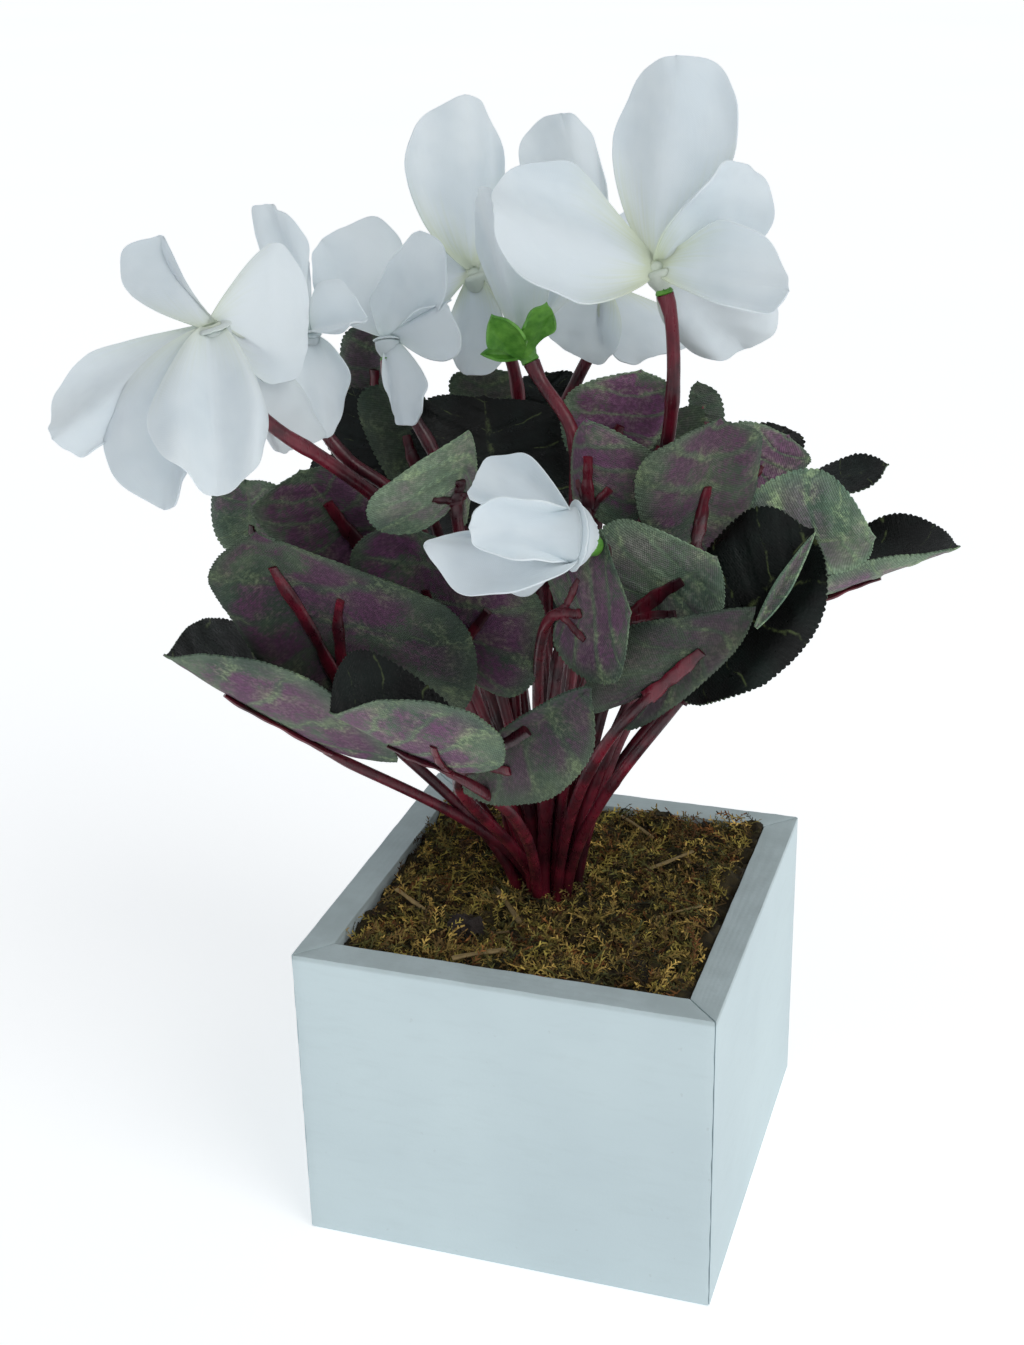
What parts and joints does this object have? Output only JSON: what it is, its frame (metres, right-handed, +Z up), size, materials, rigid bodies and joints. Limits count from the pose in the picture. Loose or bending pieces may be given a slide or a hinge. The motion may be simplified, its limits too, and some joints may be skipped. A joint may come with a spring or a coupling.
{
  "type": "potted cyclamen",
  "caption": "Bushy cyclamen of fabric leaves and reflexed blooms on bundled stems, standing in dried moss in a square painted box.",
  "frame": {"origin": "middle of the box's underside", "axes": "+Z up, -Y out of the front board, +X to the right as the front board is seen; the plant faces 18.4 degrees to the right of -Y"},
  "size_m": [0.2148, 0.19, 0.3261],
  "materials": {
    "box_paint": "painted, satin",
    "foam": "dry florist's foam",
    "moss": "dried moss",
    "stem_plastic": "semi-gloss",
    "leaf_fabric": "printed cloth, waxed on the upper side",
    "petal_fabric": "stiffened white cloth",
    "sepal_plastic": "soft plastic"
  },
  "bodies": {
    "root": {"pot_wall_front": "box_paint", "pot_wall_right": "box_paint", "pot_wall_back": "box_paint", "pot_wall_left": "box_paint", "pot_floor": "box_paint", "foam_block": "foam", "moss_mat": "moss", "stem_cluster": "stem_plastic", "leaf_left_low": "leaf_fabric", "leaf_front_left": "leaf_fabric", "leaf_front_middle": "leaf_fabric", "leaf_left_large": "leaf_fabric", "leaf_left_middle": "leaf_fabric", "leaf_centre_light": "leaf_fabric", "leaf_far_left": "leaf_fabric", "leaf_left_upper": "leaf_fabric", "leaf_dark_left": "leaf_fabric", "leaf_dark_left_inner": "leaf_fabric", "leaf_back_left": "leaf_fabric", "leaf_dark_centre": "leaf_fabric", "leaf_back_strip": "leaf_fabric", "leaf_back_dark": "leaf_fabric", "leaf_upper_purple": "leaf_fabric", "leaf_centre_ribbed": "leaf_fabric", "leaf_upper_dark": "leaf_fabric", "leaf_right_large": "leaf_fabric", "leaf_upright_small": "leaf_fabric", "leaf_right_purple": "leaf_fabric", "leaf_right_behind": "leaf_fabric", "leaf_right_light": "leaf_fabric", "leaf_right_pointed": "leaf_fabric", "leaf_far_right": "leaf_fabric", "leaf_right_dark": "leaf_fabric", "leaf_front_right": "leaf_fabric", "leaf_front_upright": "leaf_fabric", "leaf_front_folded": "leaf_fabric", "leaf_rear_low_left": "leaf_fabric", "leaf_rear_low": "leaf_fabric", "leaf_rear_low_right": "leaf_fabric", "leaf_rear_right": "leaf_fabric", "leaf_rear_mid_left": "leaf_fabric", "leaf_rear_mid": "leaf_fabric", "leaf_rear_mid_right": "leaf_fabric", "bloom_left_petals": "petal_fabric", "bloom_left_calyx": "sepal_plastic", "bloom_left_rear_petals": "petal_fabric", "bloom_left_rear_calyx": "sepal_plastic", "bloom_centre_left_petals": "petal_fabric", "bloom_centre_left_calyx": "sepal_plastic", "bloom_upper_centre_petals": "petal_fabric", "bloom_upper_centre_calyx": "sepal_plastic", "bloom_centre_petals": "petal_fabric", "bloom_centre_calyx": "sepal_plastic", "bloom_rear_petals": "petal_fabric", "bloom_rear_calyx": "sepal_plastic", "bloom_right_petals": "petal_fabric", "bloom_right_calyx": "sepal_plastic", "bloom_front_bud_petals": "petal_fabric", "bloom_front_bud_calyx": "sepal_plastic"}
  },
  "joints": []
}
